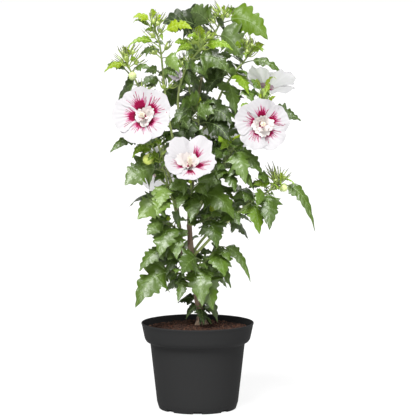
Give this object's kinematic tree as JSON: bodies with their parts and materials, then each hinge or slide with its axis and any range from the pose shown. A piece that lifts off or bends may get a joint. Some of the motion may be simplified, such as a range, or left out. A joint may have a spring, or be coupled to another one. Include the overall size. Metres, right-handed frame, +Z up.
{
  "type": "potted hibiscus shrub",
  "caption": "Upright young hibiscus shrub in a round nursery pot, with lobed toothed leaves and open white blooms that have dark red hearts.",
  "frame": {"origin": "centre of the pot's flat underside, on the floor that it stands on", "axes": "+Z up along the stems, -Y towards the side that carries most of the blooms, +X to the right of that side"},
  "size_m": [0.3511, 0.2715, 0.6802],
  "materials": {
    "pot_plastic": "moulded black plastic, matt with a faint sheen",
    "compost": "moist, granular, dark red-brown",
    "bark": "matt, pinkish brown below, yellow-green on young shoots",
    "leaf": "satin, with pale veins",
    "petal": "soft matt, white with a crimson blotch at the base"
  },
  "bodies": {
    "root": {"pot": "pot_plastic", "soil": "compost", "trunk": "bark", "bough_main": "bark", "bough_second": "bark", "bough_low_right": "bark", "bough_mid_left": "bark", "bough_left": "bark", "bough_right": "bark", "bough_upper_right": "bark", "bough_front": "bark", "bough_centre": "bark", "bough_leader": "bark", "bough_top_right": "bark", "bough_top_centre": "bark", "bough_top_left": "bark", "bough_back_left": "bark", "bough_back_right": "bark", "bough_back_low": "bark", "bough_back": "bark", "foliage_low_left": "leaf", "foliage_low_front": "leaf", "foliage_low_right": "leaf", "foliage_side_left": "leaf", "foliage_mid_left": "leaf", "foliage_mid_front": "leaf", "foliage_left": "leaf", "foliage_left_tip": "leaf", "foliage_front": "leaf", "foliage_right_branch": "leaf", "foliage_right": "leaf", "foliage_upper_right": "leaf", "foliage_centre": "leaf", "foliage_top": "leaf", "foliage_top_centre": "leaf", "foliage_top_left": "leaf", "foliage_top_right": "leaf", "foliage_back_left": "leaf", "foliage_back_right": "leaf", "foliage_back_low": "leaf", "foliage_back_foot": "leaf", "foliage_back": "leaf", "bloom_left": "petal", "bloom_centre": "petal", "bloom_right": "petal", "bloom_top_right": "petal", "bloom_back_left": "petal", "bloom_back_right": "petal"}
  },
  "joints": []
}
